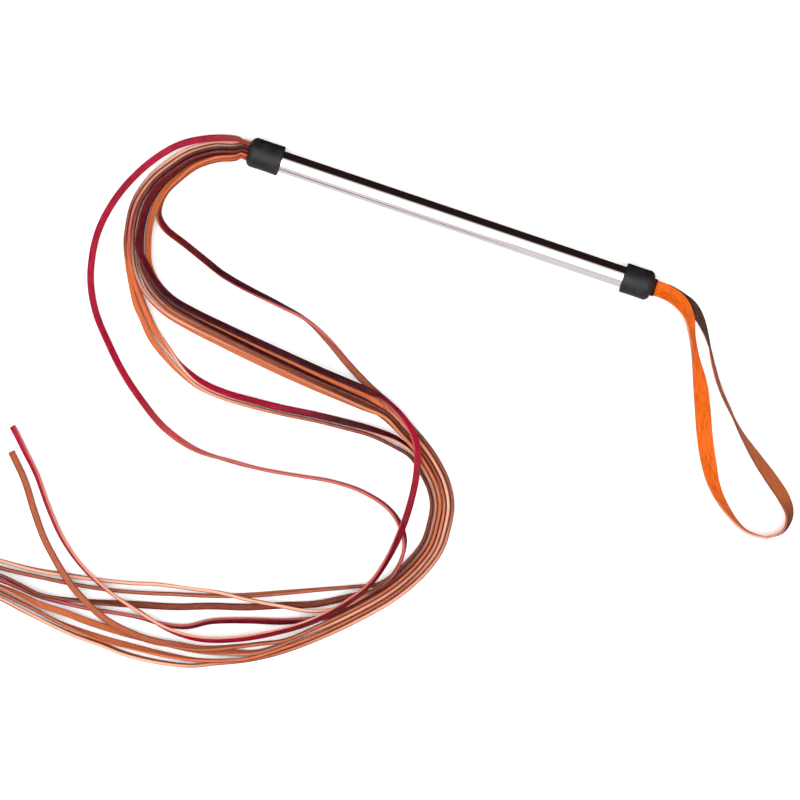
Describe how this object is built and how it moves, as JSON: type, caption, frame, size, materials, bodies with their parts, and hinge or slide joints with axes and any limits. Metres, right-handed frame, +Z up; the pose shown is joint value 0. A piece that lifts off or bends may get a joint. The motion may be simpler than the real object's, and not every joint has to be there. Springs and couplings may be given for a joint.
{
  "type": "multi-tail leather whip",
  "caption": "Leather whip: limp thongs from one end of a straight steel tube handle, black ferrules on both ends, and a leather wrist strap.",
  "frame": {"origin": "under the middle of the handle, on the surface it lies on", "axes": "+X along the handle from the thongs' end to the wrist strap's end, +Z up"},
  "size_m": [0.6087, 0.3971, 0.0258],
  "materials": {
    "chrome_tube": "polished",
    "black_rubber": "matt, moulded",
    "thong_leather": "crimson grain side, tan flesh side, pale cut edges",
    "strap_leather": "orange suede, dark brown grain side",
    "beech": "bare",
    "copper_rivet": "satin"
  },
  "bodies": {
    "handle": {"handle_tube": "chrome_tube", "head_ferrule": "black_rubber", "heel_ferrule": "black_rubber", "head_plug": "beech", "thong_root_1": "thong_leather", "thong_root_2": "thong_leather", "thong_root_3": "thong_leather", "thong_root_4": "thong_leather", "thong_root_5": "thong_leather", "thong_root_6": "thong_leather", "thong_root_7": "thong_leather", "thong_root_8": "thong_leather", "thong_root_9": "thong_leather", "heel_plug": "beech", "strap_tail_upper": "strap_leather", "strap_tail_lower": "strap_leather", "strap_rivet": "copper_rivet"},
    "thongs": {"thong_1": "thong_leather", "thong_2": "thong_leather", "thong_3": "thong_leather", "thong_4": "thong_leather", "thong_5": "thong_leather", "thong_6": "thong_leather", "thong_7": "thong_leather", "thong_8": "thong_leather", "thong_9": "thong_leather"},
    "strap": {"wrist_strap": "strap_leather"}
  },
  "joints": [
    {"name": "thong_swing", "type": "hinge", "parent": "handle", "child": "thongs", "pos_m": [-0.159, 0, 0.0112], "axis": [0, 0, 1], "range_deg": [-45, 30], "deforming": ["thong_1", "thong_2", "thong_3", "thong_4", "thong_5", "thong_6", "thong_7", "thong_8", "thong_9"]},
    {"name": "strap_swing", "type": "hinge", "parent": "handle", "child": "strap", "pos_m": [0.159, 0, 0.0112], "axis": [0, 0, 1], "range_deg": [-60, 60], "deforming": ["wrist_strap"]}
  ]
}
